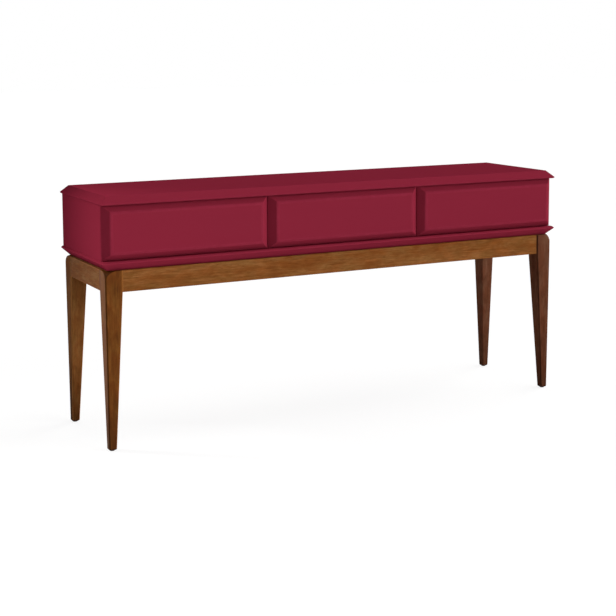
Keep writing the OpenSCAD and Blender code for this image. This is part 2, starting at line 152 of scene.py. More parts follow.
def start_disc(name, radius, height, facets):
    """A cylinder that stands on the origin, alone in the selection, with its place in its mesh."""
    bpy.ops.object.select_all(action="DESELECT")
    bpy.ops.mesh.primitive_cylinder_add(
        vertices=facets, radius=radius, depth=height, location=(0, 0, height / 2))
    piece = bpy.context.object
    piece.name = name
    bpy.ops.object.transform_apply(location=True)
    return piece


def open_mesh(piece, kind):
    """Edit mode on this piece alone, with nothing selected; kind is EDGE or FACE."""
    bpy.context.view_layer.objects.active = piece
    bpy.ops.object.mode_set(mode="EDIT")
    bpy.ops.mesh.select_mode(type=kind)
    bpy.ops.mesh.select_all(action="DESELECT")
    return bmesh.from_edit_mesh(piece.data)


def close_mesh():
    bpy.ops.object.mode_set(mode="OBJECT")


def pick_faces(piece, test):
    """Opens the piece with the faces selected whose centre and normal pass the test."""
    mesh = open_mesh(piece, "FACE")
    for face in mesh.faces:
        face.select_set(test(face.calc_center_median(), face.normal))
    bmesh.update_edit_mesh(piece.data)


def pick_edges(piece, test, sharper_than=0.0):
    """Opens the piece with the edges selected whose middle and direction pass the test."""
    mesh = open_mesh(piece, "EDGE")
    for edge in mesh.edges:
        start, end = (v.co for v in edge.verts)
        sharp = len(edge.link_faces) == 2 and edge.calc_face_angle() > sharper_than
        edge.select_set(sharp and test((start + end) / 2, (end - start).normalized()))
    bmesh.update_edit_mesh(piece.data)


def everywhere(middle, direction):
    """Test that every edge passes."""
    return True


def runs_along(axis):
    """Test for edges that run along an axis."""
    return lambda middle, direction: abs(direction[axis]) > STRAIGHT


def lies_at(axis, place):
    """Test for edges whose middle is at this place on an axis."""
    return lambda middle, direction: abs(middle[axis] - place) < TOUCH


def both(one, other):
    """Test for edges that pass two tests."""
    return lambda middle, direction: one(middle, direction) and other(middle, direction)


def cut(piece, place, normal, **settings):
    """Cuts through the whole piece along a plane, and leaves it open."""
    open_mesh(piece, "FACE")
    bpy.ops.mesh.select_all(action="SELECT")
    bpy.ops.mesh.bisect(plane_co=place, plane_no=normal, **settings)


def extrude_faces(reach):
    """Draws the selected faces out by this much along each axis."""
    bpy.ops.mesh.extrude_region_move(TRANSFORM_OT_translate={"value": reach})


def tone_new_faces(piece, tone, width=math.inf):
    """Writes a tone on the strips that an operator has just left selected, up to about twice this width.
    A flat face whose edges are all new is selected too, and keeps its own tone."""
    mesh = bmesh.from_edit_mesh(piece.data)
    layer = mesh.faces.layers.float.get(EDGE_TONE) or mesh.faces.layers.float.new(EDGE_TONE)
    for face in mesh.faces:
        if face.select and face.calc_area() < width * face.calc_perimeter():
            face[layer] = tone
    bmesh.update_edit_mesh(piece.data)


def bevel(piece, width, steps, test=everywhere, sharper_than=0.0, tone=PLAIN):
    """Bevels the edges that pass the test, and gives the new faces a tone."""
    pick_edges(piece, test, sharper_than)
    bpy.ops.mesh.bevel(offset=width, segments=steps, affect="EDGES", clamp_overlap=True)
    tone_new_faces(piece, tone, width)
    close_mesh()


def ease(piece, radius, steps=3, test=everywhere, tone=LIGHT):
    """Rounds the sharp edges that pass the test."""
    bevel(piece, radius, steps, test, EASE_ANGLE, tone)


def apply_modifier(piece, kind, **settings):
    bpy.context.view_layer.objects.active = piece
    modifier = piece.modifiers.new(kind.lower(), kind)
    for key, value in settings.items():
        setattr(modifier, key, value)
    bpy.ops.object.modifier_apply(modifier=modifier.name)


def select_only(*pieces):
    bpy.ops.object.select_all(action="DESELECT")
    for piece in pieces:
        piece.select_set(True)
    bpy.context.view_layer.objects.active = pieces[0]


def smooth(piece):
    """Smooth shading in which the flat faces stay flat and the eased edges turn the light."""
    select_only(piece)
    bpy.ops.object.shade_smooth_by_angle(angle=SMOOTH_ANGLE)
    apply_modifier(piece, "WEIGHTED_NORMAL", keep_sharp=True, weight=100)


def copy_at(piece, turn, place):
    """A copy of a piece that was modelled at the origin, turned and moved, with its place in its mesh."""
    made = piece.copy()
    made.data = piece.data.copy()
    bpy.context.scene.collection.objects.link(made)
    made.rotation_euler = turn
    made.location = place
    select_only(made)
    bpy.ops.object.transform_apply(location=True, rotation=True, scale=True)
    return made


def join(name, pieces):
    """Makes one piece of several, with this name."""
    select_only(*pieces)
    bpy.ops.object.join()
    pieces[0].name = name
    return pieces[0]


def remove(piece):
    bpy.data.objects.remove(piece)


def inset_pair(low, high, inset):
    """The places this far in from both ends of a length."""
    return (low + inset, high - inset)


def dress(piece, material, body, slot, *nodes):
    """Finish, body and the CAD nodes that a new piece stands for. The material slot is not used."""
    piece.data.materials.clear()
    piece.data.materials.append(material)
    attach(piece, body)
    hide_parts(*nodes)


def finish_node(material, *nodes):
    """A better material on CAD nodes whose shape is right."""
    for name in nodes:
        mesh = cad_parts[name].data
        mesh.materials.clear()
        mesh.materials.append(material)


# Material tools

def srgb(red, green, blue):
    """A colour written as 0 to 255 display values, as the shader's linear colour."""
    def linear(value):
        value /= 255
        return value / 12.92 if value <= 0.04045 else ((value + 0.055) / 1.055) ** 2.4
    return (linear(red), linear(green), linear(blue), 1.0)


def tones(*colours):
    """Display colours from deep to pale, as linear colours."""
    return [srgb(*colour) for colour in colours]


def shade(colour, factor):
    """A lighter or darker shade of a linear colour."""
    return tuple(c * factor for c in colour[:3]) + (1.0,)


def along_grain(axis, along, across):
    """Scale of a pattern that is drawn out along the grain."""
    return tuple(along if i == axis else across for i in range(3))


class Finish:
    """A new node material with its main shader, and short ways to add and join its nodes."""

    def __init__(self, name):
        self.material = bpy.data.materials.new(name)
        self.material.use_nodes = True
        self.tree = self.material.node_tree
        self.shader = self.tree.nodes["Principled BSDF"]
        self.place = self.add("ShaderNodeTexCoord").outputs["Object"]

    def add(self, kind, inputs=None, **settings):
        node = self.tree.nodes.new(kind)
        for key, value in settings.items():
            setattr(node, key, value)
        for key, value in (inputs or {}).items():
            self.set(node.inputs[key], value)
        return node

    def set(self, socket, value):
        if isinstance(value, bpy.types.NodeSocket):
            self.tree.links.new(value, socket)
        else:
            socket.default_value = value

    def stretched(self, scale, shift=(0, 0, 0)):
        """Object coordinates moved by shift and scaled along each axis."""
        return self.add("ShaderNodeMapping", {
            "Vector": self.place, "Location": shift, "Scale": scale}).outputs[0]

    def noise(self, vector, scale=1.0, detail=2.0, roughness=0.5, distortion=0.0):
        return self.add("ShaderNodeTexNoise", {
            "Vector": vector, "Scale": scale, "Detail": detail, "Roughness": roughness,
            "Distortion": distortion}).outputs["Fac"]

    def spread(self, value, low, high, start=0.3, end=0.7):
        """A value that runs from start to end, as most of a noise does, made to run from low to high."""
        return self.add("ShaderNodeMapRange", {
            "Value": value, "From Min": start, "From Max": end,
            "To Min": low, "To Max": high}).outputs["Result"]

    def ramp(self, value, colours, reach=0.2):
        """A ramp through two or three colours, evenly spaced over this reach on both sides of 0.5."""
        node = self.add("ShaderNodeValToRGB", {"Fac": value})
        elements = node.color_ramp.elements
        if len(colours) == 3:
            elements.new(0.5)
        for step, colour in enumerate(colours):
            elements[step].position = 0.5 + reach * (2 * step / (len(colours) - 1) - 1)
            elements[step].color = colour
        return node.outputs["Color"]

    def mix(self, amount, below, above, blend="MIX"):
        """One colour over another; inputs 6 and 7 and output 2 are the node's colour sockets."""
        node = self.add("ShaderNodeMix", data_type="RGBA", blend_type=blend)
        self.set(node.inputs[0], amount)
        self.set(node.inputs[6], below)
        self.set(node.inputs[7], above)
        return node.outputs[2]

    def times(self, first, second):
        node = self.add("ShaderNodeMath", operation="MULTIPLY")
        self.set(node.inputs[0], first)
        self.set(node.inputs[1], second)
        return node.outputs[0]

    def edge(self, tone):
        """1 on the edges of a piece that have this tone, 0 elsewhere."""
        value = self.add("ShaderNodeAttribute", attribute_name=EDGE_TONE).outputs["Fac"]
        return self.spread(value, 0, 1, start=PLAIN, end=tone)

    def bump(self, height, distance, strength, below=None):
        node = self.add("ShaderNodeBump", {"Height": height, "Distance": distance, "Strength": strength})
        if below:
            self.set(node.inputs["Normal"], below)
        return node.outputs["Normal"]

    def finish(self, **sockets):
        """Sets or joins the main shader's sockets, named with _ for each space."""
        for key, value in sockets.items():
            self.set(self.shader.inputs[key.replace("_", " ")], value)
        return self.material


# Finishes: tints and tones that multiply a colour, and how strongly each layer shows

STAIN_TINTS = ((1.05, 0.965, 0.9, 1), (1, 1, 1, 1), (0.945, 1.03, 1.02, 1))
STREAK_TONES = ((0.80, 0.77, 0.73, 1), (1.2, 1.22, 1.26, 1))
FIBRE_TONES = ((0.62, 0.58, 0.52, 1), (1.3, 1.32, 1.36, 1))
BLOTCH_SHARE = 0.6
STREAK_SHARE = 0.7
FIBRE_SHARE = 0.5
PORE_DEPTH = 0.55
PORE_SHADE = 0.35
# Painted shade on dark-toned edges, and the lift of worn edges that carry a painted highlight
PAINTED_SHADE_FACTOR = 0.3
WORN_AND_GLINT_LIFT = 1.4
FOOT_TINT = (1, 0.94, 0.88)
FOOT_SHADE_TOP = 0.22
BIRCH_FIBRE_TONES = ((0.7, 0.66, 0.6, 1), (1.2, 1.2, 1.2, 1))
BIRCH_FIBRE_SHARE = 0.22

APRON_STAIN = tones((115, 67, 29), (130, 80, 39), (144, 94, 52))
SIDE_APRON_STAIN = tones((106, 65, 33), (120, 77, 44), (133, 90, 57))
LEFT_LEG_STAIN = tones((88, 47, 12), (106, 60, 20), (122, 75, 30))
# The back leg's stain is partly painted light: it is paler to stand in for light that the case keeps off its
# front
BACK_LEG_STAIN_PAINTED_LIGHT = tones((100, 58, 24), (117, 73, 36), (132, 87, 48))
RIGHT_LEG_STAIN = tones((84, 48, 31), (102, 62, 44), (114, 73, 54))
BLOCK_STAIN = tones((90, 52, 24), (110, 66, 34), (124, 80, 46))
BIRCH_FIGURE = tones((206, 176, 132), (221, 194, 152), (232, 209, 172))
BIRCH_EDGE = srgb(214, 186, 142)


def crimson_lacquer(name, colour, edge_colour):
    """Satin lacquer on fibreboard: faint cloudiness, fine orange peel and dust, and lighter colour on the
    arrises, partly thinner lacquer and partly a painted sheen."""
    coat = Finish(name)
    cloud = coat.noise(coat.stretched((3, 9, 9)), detail=4, roughness=0.6)
    body = coat.mix(coat.spread(cloud, 0, 1), shade(colour, 0.993), shade(colour, 1.007))
    worn_and_glint = coat.noise(coat.stretched((60, 60, 60)), detail=3)
    # Lighter arrises: partly worn lacquer, partly a painted sheen
    worn_and_sheen = coat.times(coat.edge(LIGHT), coat.spread(worn_and_glint, 0.35, 1.0, start=0.35))
    peel = coat.noise(coat.place, scale=420, detail=2)
    dust = coat.noise(coat.place, scale=1900, detail=1)
    skin = coat.bump(peel, distance=0.0004, strength=0.025)
    return coat.finish(
        Base_Color=coat.mix(worn_and_sheen, body, edge_colour),
        Roughness=coat.spread(cloud, 0.5, 0.6),
        Specular_IOR_Level=0.0,
        Normal=coat.bump(dust, distance=0.0001, strength=0.02, below=skin))


def stained_wood(name, axis, stain, shift, foot_shade=1.0, gloss=0.004):
    """Brown stained hardwood under satin varnish: flowing figure, blotches, places that take the stain
    redder or more olive, short streaks, fibres, open pores, worn edges made lighter with a painted
    highlight, and edges with painted shade. Shift moves the pattern, so that each wood has its own, and
    the feet may be darker."""
    wood = Finish(name)
    deep, pale = stain[0], stain[-1]

    def grain(along, across, **settings):
        return wood.noise(wood.stretched(along_grain(axis, along, across), shift), **settings)

    flow = grain(1.6, 19, detail=4, roughness=0.55, distortion=0.8)
    blotch = grain(17, 42, detail=3, roughness=0.6, distortion=0.5)
    tint = grain(16, 42, detail=2)
    streak = grain(24, 250, detail=3, roughness=0.6)
    fibre = grain(9, 420, detail=3, roughness=0.65)
    pore = grain(55, 1500, detail=1)
    board = wood.ramp(flow, stain)
    board = wood.mix(BLOTCH_SHARE, board, wood.ramp(blotch, stain, reach=0.17))
    board = wood.mix(1.0, board, wood.ramp(tint, STAIN_TINTS, reach=0.16), "MULTIPLY")
    board = wood.mix(STREAK_SHARE, board, wood.ramp(streak, STREAK_TONES), "MULTIPLY")
    board = wood.mix(FIBRE_SHARE, board, wood.ramp(fibre, FIBRE_TONES), "MULTIPLY")
    pores = wood.spread(pore, 0, PORE_DEPTH, start=0.60, end=0.72)
    board = wood.mix(pores, board, shade(deep, PORE_SHADE))
    if foot_shade < 1:
        height = wood.add("ShaderNodeSeparateXYZ", {"Vector": wood.place}).outputs["Z"]
        low = wood.spread(height, 1, 0, start=0, end=FOOT_SHADE_TOP)
        board = wood.mix(low, board, shade(FOOT_TINT, foot_shade), "MULTIPLY")
    # Worn edges get a paler colour that is partly a painted highlight; dark-toned edges get painted shade
    edge_patches = wood.noise(wood.stretched(along_grain(axis, 12, 60)), detail=3)
    worn_and_glint = wood.times(wood.edge(LIGHT), wood.spread(edge_patches, 0.55, 1.0, end=0.65))
    painted_shade = wood.times(wood.edge(DARK), wood.spread(edge_patches, 0.5, 0.8, end=0.65))
    board = wood.mix(painted_shade, board, shade(deep, PAINTED_SHADE_FACTOR))
    ridges = wood.bump(fibre, distance=0.0004, strength=0.12)
    return wood.finish(
        Base_Color=wood.mix(worn_and_glint, board, shade(pale, WORN_AND_GLINT_LIFT)),
        Roughness=wood.spread(fibre, 0.40, 0.52),
        Specular_IOR_Level=gloss,
        Normal=wood.bump(pores, distance=0.0003, strength=0.25, below=ridges))


def birch(name, axis):
    """Pale varnished birch: soft figure and fine fibres, a little deeper on the eased edges."""
    wood = Finish(name)
    figure = wood.noise(wood.stretched(along_grain(axis, 2.2, 24)), detail=4, distortion=1.2)
    fibre = wood.noise(wood.stretched(along_grain(axis, 16, 650)), detail=2)
    board = wood.ramp(figure, BIRCH_FIGURE, reach=0.25)
    board = wood.mix(BIRCH_FIBRE_SHARE, board, wood.ramp(fibre, BIRCH_FIBRE_TONES), "MULTIPLY")
    return wood.finish(
        Base_Color=wood.mix(wood.edge(LIGHT), board, BIRCH_EDGE),
        Roughness=wood.spread(fibre, 0.42, 0.55),
        Specular_IOR_Level=0.3,
        Normal=wood.bump(fibre, distance=0.0002, strength=0.1))


def zinc(name, colour, axis):
    """Zinc plated steel: fine rolling lines along an axis and a cloudy passivated tint."""
    metal = Finish(name)
    lines = metal.noise(metal.stretched(along_grain(axis, 12, 900)), detail=3)
    cloud = metal.noise(metal.place, scale=45, detail=3)
    return metal.finish(
        Base_Color=metal.mix(metal.spread(cloud, 0, 1, start=0.35, end=0.65), colour, shade(colour, 0.84)),
        Metallic=1.0,
        Roughness=metal.spread(lines, 0.26, 0.42),
        Normal=metal.bump(lines, distance=0.0001, strength=0.1))


def moulded(name, colour, roughness):
    """Moulded plastic or rubber with a fine grain."""
    plastic = Finish(name)
    grain = plastic.noise(plastic.place, scale=1500, detail=2)
    cloud = plastic.noise(plastic.place, scale=120, detail=2)
    return plastic.finish(
        Base_Color=plastic.mix(plastic.spread(cloud, 0, 1), shade(colour, 0.85), shade(colour, 1.1)),
        Roughness=plastic.spread(grain, roughness - 0.08, roughness + 0.08),
        Specular_IOR_Level=0.3,
        Normal=plastic.bump(grain, distance=0.0001, strength=0.2))


LACQUER = crimson_lacquer("crimson_lacquer", srgb(133, 37, 55), srgb(139, 41, 60))
LACQUER_BACK = crimson_lacquer("crimson_lacquer_back", srgb(124, 34, 51), srgb(136, 42, 60))
APRON_WOOD = stained_wood("apron_wood", X, APRON_STAIN, (3, 1, 7))
SIDE_WOOD = stained_wood("side_apron_wood", Y, SIDE_APRON_STAIN, (5, 2, 4))
LEFT_LEG_WOOD = stained_wood("left_leg_wood", Z, LEFT_LEG_STAIN, (2, 9, 6), foot_shade=0.55, gloss=0.04)
BACK_LEG_WOOD_PAINTED_LIGHT = stained_wood("back_leg_wood_painted_light", Z, BACK_LEG_STAIN_PAINTED_LIGHT, (4, 1, 3), foot_shade=0.38)
RIGHT_LEG_WOOD = stained_wood("right_leg_wood", Z, RIGHT_LEG_STAIN, (8, 3, 1), foot_shade=0.62)
BLOCK_WOOD = stained_wood("block_wood", X, BLOCK_STAIN, (1, 6, 2))
BIRCH_SIDE = birch("birch_sides", Y)
BIRCH_BACK = birch("birch_back", X)
SLIDE_STEEL = zinc("slide_steel", srgb(196, 199, 203), Y)
SCREW_STEEL = zinc("screw_steel", srgb(188, 186, 178), Z)
GLIDE_NYLON = moulded("glide_nylon", srgb(44, 28, 21), roughness=0.5)
BUFFER_RUBBER = moulded("buffer_rubber", srgb(217, 217, 209), roughness=0.4)


# Lacquered case

def top_slab():
    """Top with a wide chamfer round its upper edge and a small bevel below."""
    low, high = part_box("top_panel")
    low.z -= TOP_RIM_DROP
    slab = start_box("top_slab", low, high)
    bevel(slab, SLAB_CHAMFER, 1, lies_at(Z, high.z))
    bevel(slab, TOP_RIM_BEVEL, 1, lies_at(Z, low.z))
    ease(slab, SLAB_EASE)
    smooth(slab)
    dress(slab, LACQUER, "case", "red_lacquer", "top_panel")


def bottom_slab():
    """Bottom with a wide chamfer round its lower edge and a small bevel above."""
    low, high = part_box("bottom_panel")
    slab = start_box("bottom_slab", low, high)
    bevel(slab, SLAB_CHAMFER, 1, lies_at(Z, low.z))
    bevel(slab, SLAB_WASH, 1, lies_at(Z, high.z))
    ease(slab, SLAB_EASE)
    smooth(slab)
    dress(slab, LACQUER, "case", "red_lacquer", "bottom_panel")


def end_board(node, side):
    """Left or right end panel with the rebate for the back panel."""
    low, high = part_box(node)
    rebate_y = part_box("back_panel")[0].y
    outer_x = low.x if side == LEFT else high.x
    lap_x = outer_x - side * BACK_LAP
    board = start_box(node + "_board", low, (high.x, rebate_y, high.z))
    cut(board, (lap_x, 0, 0), (1, 0, 0))
    close_mesh()
    pick_faces(board, lambda centre, normal: normal.y > STRAIGHT and (centre.x - lap_x) * side > 0)
    extrude_faces((0, high.y - rebate_y, 0))
    close_mesh()
    ease(board, BOARD_EASE, 2, runs_along(Z))
    smooth(board)
    dress(board, LACQUER, "case", "red_lacquer", node)


def drawer_front(i):
    """Front board: a thin lip round a raised field with wide mitred bevels, all softly eased."""
    node = f"drawer_front_{i}"
    low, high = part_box(node)
    low.z -= FRONT_REACH_DOWN
    if i > DRAWERS[0]:
        low.x -= FRONT_REACH_SIDE
    if i < DRAWERS[-1]:
        high.x += FRONT_REACH_SIDE
    lip_y = low.y + FRONT_BEVEL_DEPTH
    board = start_box(f"bevelled_front_{i}", (low.x, lip_y, low.z), high)
    pick_faces(board, lambda centre, normal: normal.y < -STRAIGHT)
    bpy.ops.mesh.inset(thickness=FRONT_BEVEL_Z, depth=FRONT_BEVEL_DEPTH, use_even_offset=True)
    width = high.x - low.x
    narrow = (width - 2 * FRONT_BEVEL_X) / (width - 2 * FRONT_BEVEL_Z)
    bpy.ops.transform.resize(value=(narrow, 1, 1), center_override=(low + high) / 2)
    close_mesh()
    ease(board, FRONT_FACE_EASE, 6, lies_at(Y, low.y))
    ease(board, FRONT_LIP_EASE, 2, lambda middle, direction: middle.y > low.y + FRONT_FACE_EASE)
    smooth(board)
    dress(board, LACQUER, f"drawer_{i}", "red_lacquer", node)


# Wooden base

def leg_box(node):
    """Corners of a leg, whose inner faces stand a little further in than the plain CAD leg's."""
    low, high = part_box(node)
    for axis in (X, Y):
        if low[axis] < 0:
            high[axis] += LEG_FULLNESS
        else:
            low[axis] -= LEG_FULLNESS
    return low, high


def leg(node, side_x, side_y, material, inner_edge, outer_edge, rear_edge):
    """Tapered leg with chamfered long edges, a rounded shoulder at its outer corner and a soft foot.
    The last three give the tones of the chamfers beside the apron, at the outer corner and behind:
    a light tone adds a painted highlight to the worn edge, and a dark tone paints shade."""
    low, high = leg_box(node)
    apron_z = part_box("front_apron")[0].z
    outer = Vector((low.x if side_x == LEFT else high.x, low.y if side_y == FRONT else high.y, low.z))
    side = Vector((side_x, side_y, 0))
    taper = FOOT_W / (high.x - low.x)
    piece = start_box(node + "_tapered", (low.x, low.y, apron_z), high)
    pick_faces(piece, lambda centre, normal: normal.z < -STRAIGHT)
    extrude_faces((0, 0, low.z - apron_z))
    still_point = outer - side * LEG_LEAN / (1 - taper)
    bpy.ops.transform.resize(value=(taper, taper, 1), center_override=still_point)
    close_mesh()

    def at_face(middle):
        return (middle.y - (low.y + high.y) / 2) * side_y > 0

    def long_edge(middle, direction):
        return abs(direction.z) > STRAIGHT and (middle.z < apron_z or at_face(middle))

    def towards_apron(middle):
        return (middle.x - (low.x + high.x) / 2) * side_x < 0

    def beside_apron(middle, direction):
        return long_edge(middle, direction) and at_face(middle) and towards_apron(middle)

    def outer_corner(middle, direction):
        return long_edge(middle, direction) and at_face(middle) and not towards_apron(middle)

    bevel(piece, LEG_CHAMFER, 1, beside_apron, tone=inner_edge)
    bevel(piece, LEG_CHAMFER, 1, outer_corner, CORNER_ANGLE, outer_edge)
    bevel(piece, LEG_CHAMFER, 1, long_edge, CORNER_ANGLE, rear_edge)
    # The shoulder takes the outer corner's tone: painted shade on the left legs
    round_shoulder(piece, outer, side, high.z, outer_edge)
    # The rounded foot gets painted shade
    ease(piece, FOOT_ROUND, 4, lies_at(Z, low.z), DARK)
    ease(piece, LEG_EASE, 3, lambda middle, direction: low.z + FOOT_ROUND < middle.z < high.z - TOUCH, PLAIN)
    smooth(piece)
    dress(piece, material, "case", "stained_wood", node)


def round_shoulder(piece, outer, side, top, tone):
    """Cuts the outer corner at the top of a leg with planes that follow an arc."""
    inwards = -side.normalized()
    middle_in = LEG_CHAMFER / math.sqrt(2) + SHOULDER_R - SHOULDER_BITE
    first = math.acos(1 - SHOULDER_BITE / SHOULDER_R)
    for step in range(SHOULDER_CUTS):
        angle = first + (SHOULDER_SWEEP - first) * (step + 0.5) / SHOULDER_CUTS
        point = outer + inwards * (middle_in - SHOULDER_R * math.cos(angle))
        point.z = top + SHOULDER_R * (math.sin(angle) - math.sin(SHOULDER_SWEEP))
        normal = -inwards * math.cos(angle) + Vector((0, 0, math.sin(angle)))
        cut(piece, point, normal, use_fill=True, clear_outer=True)
        tone_new_faces(piece, tone)
        close_mesh()


def long_apron(node, side):
    """Front or back apron between two legs."""
    low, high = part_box(node)
    low.z -= APRON_DROP
    left, right = leg_box("front_left_leg")[1].x, leg_box("front_right_leg")[0].x
    face_y, inner_y = (low.y, high.y) if side == FRONT else (high.y, low.y)
    board = start_box(node + "_board", (left, low.y, low.z), (right, high.y, high.z))
    at_face = lies_at(Y, face_y)
    ease(board, APRON_END_EASE, 2, both(at_face, runs_along(Z)))
    ease(board, APRON_EASE, 4, both(at_face, lies_at(Z, high.z)), PLAIN)
    # The lower front edge gets painted shade
    ease(board, APRON_EASE, 4, both(at_face, lies_at(Z, low.z)), DARK)
    ease(board, APRON_INNER_EASE, 2, both(lies_at(Y, inner_y), runs_along(X)))
    smooth(board)
    dress(board, APRON_WOOD, "case", "stained_wood", node)


def side_apron(node):
    """Apron flush with the outer faces of two legs."""
    low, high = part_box(node)
    front, back = leg_box("front_left_leg")[1].y, leg_box("back_left_leg")[0].y
    board = start_box(node + "_board", (low.x, front, low.z), (high.x, back, high.z))
    ease(board, APRON_INNER_EASE, 2, runs_along(Y))
    smooth(board)
    dress(board, SIDE_WOOD, "case", "stained_wood", node)


def foot_glides():
    """Discs under the four feet."""
    low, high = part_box("foot_glides")
    disc = start_disc("glide", GLIDE_R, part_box("front_left_leg")[0].z, GLIDE_FACETS)
    ease(disc, GLIDE_EASE, 3, lies_at(Z, 0))
    smooth(disc)
    glides = [copy_at(disc, UPRIGHT, (x, y, 0))
              for x in inset_pair(low.x, high.x, GLIDE_R)
              for y in inset_pair(low.y, high.y, GLIDE_R)]
    remove(disc)
    dress(join("foot_glide_discs", glides), GLIDE_NYLON, "case", "glide_plastic", "foot_glides")


# Drawer boxes and slides

def drawer_box(i):
    """Sides and back of a drawer with rounded upper edges."""
    parts = (("left_side", BIRCH_SIDE, Y), ("right_side", BIRCH_SIDE, Y), ("back", BIRCH_BACK, X))
    for part, material, axis in parts:
        node = f"drawer_{part}_{i}"
        low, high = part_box(node)
        board = start_box(node + "_board", low, high)
        ease(board, BOX_EASE, 3, both(lies_at(Z, high.z), runs_along(axis)))
        smooth(board)
        dress(board, material, f"drawer_{i}", "birch", node)


def box_faces(i):
    """Where the outer faces of a drawer's left and right sides are."""
    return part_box(f"drawer_left_side_{i}")[0].x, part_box(f"drawer_right_side_{i}")[1].x


def buffers(i):
    """Soft buffers behind a front: low domes at its four corners."""
    low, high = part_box(f"drawer_buffers_{i}")
    tall = high.y - low.y
    dome = start_disc("dome", BUFFER_R, tall, BUFFER_FACETS)
    ease(dome, tall * BUFFER_DOME_SHARE, 4, lies_at(Z, tall))
    smooth(dome)
    domes = [copy_at(dome, TO_BACK, (x, low.y, z))
             for x in inset_pair(low.x, high.x, BUFFER_R)
             for z in inset_pair(low.z, high.z, BUFFER_R)]
    remove(dome)
    dress(join(f"buffer_domes_{i}", domes), BUFFER_RUBBER, f"drawer_{i}", "buffer_rubber",
          f"drawer_buffers_{i}")


def channel(name, low, high, web_x, open_side, depth):
    """Folded steel channel: a web at web_x between two flanges that reach out to open_side."""
    half = SHEET / 2
    bpy.ops.object.select_all(action="DESELECT")
    bpy.ops.mesh.primitive_plane_add(size=1, rotation=TO_RIGHT)
    piece = bpy.context.object
    piece.name = name
    piece.scale = (high.z - low.z - SHEET, high.y - low.y, 1)
    piece.location = (web_x + open_side * half, (low.y + high.y) / 2, (low.z + high.z) / 2)
    bpy.ops.object.transform_apply(location=True, rotation=True, scale=True)
    for z in inset_pair(low.z, high.z, half):
        mesh = open_mesh(piece, "EDGE")
        for edge in mesh.edges:
            edge.select_set(all(abs(v.co.z - z) < TOUCH for v in edge.verts))
        bmesh.update_edit_mesh(piece.data)
        reach = (open_side * (depth - half), 0, 0)
        bpy.ops.mesh.extrude_edges_move(TRANSFORM_OT_translate={"value": reach})
        close_mesh()
    bevel(piece, FOLD_R, 4, runs_along(Y), CORNER_ANGLE)
    apply_modifier(piece, "SOLIDIFY", thickness=SHEET, offset=0)
    smooth(piece)
    return piece


def slide_pair(i, member, body, left, right):
    """One member of both slides of a drawer. Left and right give a web's place, open side and depth."""
    node = f"slide_{member}_{i}"
    low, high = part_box(node)
    pair = [channel(f"{member}_left", low, high, *left), channel(f"{member}_right", low, high, *right)]
    dress(join(f"slide_{member}_pair_{i}", pair), SLIDE_STEEL, body, "slide_steel", node)


def slides(i):
    """Outer, middle and drawer members of the two slides of a drawer, each pair as one piece."""
    low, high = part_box(f"slide_outer_{i}")
    slide_pair(i, "outer", "case", (low.x, RIGHT, OUTER_DEPTH), (high.x, LEFT, OUTER_DEPTH))
    low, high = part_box(f"slide_middle_{i}")
    slide_pair(i, "middle", f"slide_carriage_{i}",
               (low.x, RIGHT, MIDDLE_DEPTH), (high.x, LEFT, MIDDLE_DEPTH))
    low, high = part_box(f"slide_inner_{i}")
    left, right = box_faces(i)
    slide_pair(i, "inner", f"drawer_{i}", (left, LEFT, left - low.x), (right, RIGHT, high.x - right))


def cage_row(xs, ys, zs):
    """Thin strip with a row of steel balls that stand out of it, in the space between these places."""
    x, y, z = (sum(places) / 2 for places in (xs, ys, zs))
    half_w = min(abs(xs[1] - xs[0]), 2 * BALL_R) / 2
    half_h = CAGE_SHEET / 2
    strip = start_box("strip", (x - half_w, ys[0], z - half_h), (x + half_w, ys[1], z + half_h))
    ease(strip, CAGE_EASE, 1)
    count = int((ys[1] - ys[0] - 2 * BALL_STEP) / BALL_STEP) + 1
    first_y = y - (count - 1) * BALL_STEP / 2
    bpy.ops.object.select_all(action="DESELECT")
    bpy.ops.mesh.primitive_ico_sphere_add(subdivisions=2, radius=BALL_R, location=(x, first_y, z))
    balls = bpy.context.object
    bpy.ops.object.transform_apply(location=True)
    bpy.ops.object.shade_smooth()
    apply_modifier(balls, "ARRAY", count=count, use_relative_offset=False, use_constant_offset=True,
                   constant_offset_displace=(0, BALL_STEP, 0))
    return join("row", [strip, balls])


def slide_cages(i):
    """Ball cages of both slides: an outer pair at the back of the middle member and an inner pair at its
    front, above and below."""
    low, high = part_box(f"slide_cages_{i}")
    middle_low, middle_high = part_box(f"slide_middle_{i}")
    inner_low, inner_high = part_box(f"slide_inner_{i}")
    length = (high.y - low.y) * CAGE_SHARE
    outer_reach = OUTER_DEPTH - (middle_low.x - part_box(f"slide_outer_{i}")[0].x)
    inner_reach = middle_low.x + MIDDLE_DEPTH - inner_low.x
    rows = []
    for inwards, middle_x, inner_x in ((1, middle_low.x, inner_low.x), (-1, middle_high.x, inner_high.x)):
        outer_xs = (middle_x, middle_x + inwards * outer_reach)
        inner_xs = (inner_x, inner_x + inwards * inner_reach)
        for up, flange_z, outer_z, inner_z in ((1, middle_high.z, high.z, inner_high.z),
                                               (-1, middle_low.z, low.z, inner_low.z)):
            rows.append(cage_row(outer_xs, (high.y - length, high.y), (flange_z, outer_z)))
            rows.append(cage_row(inner_xs, (low.y, low.y + length), (inner_z, flange_z - up * SHEET)))
    dress(join(f"ball_cages_{i}", rows), SLIDE_STEEL, f"slide_carriage_{i}", "slide_steel",
          f"slide_cages_{i}")


# Screws

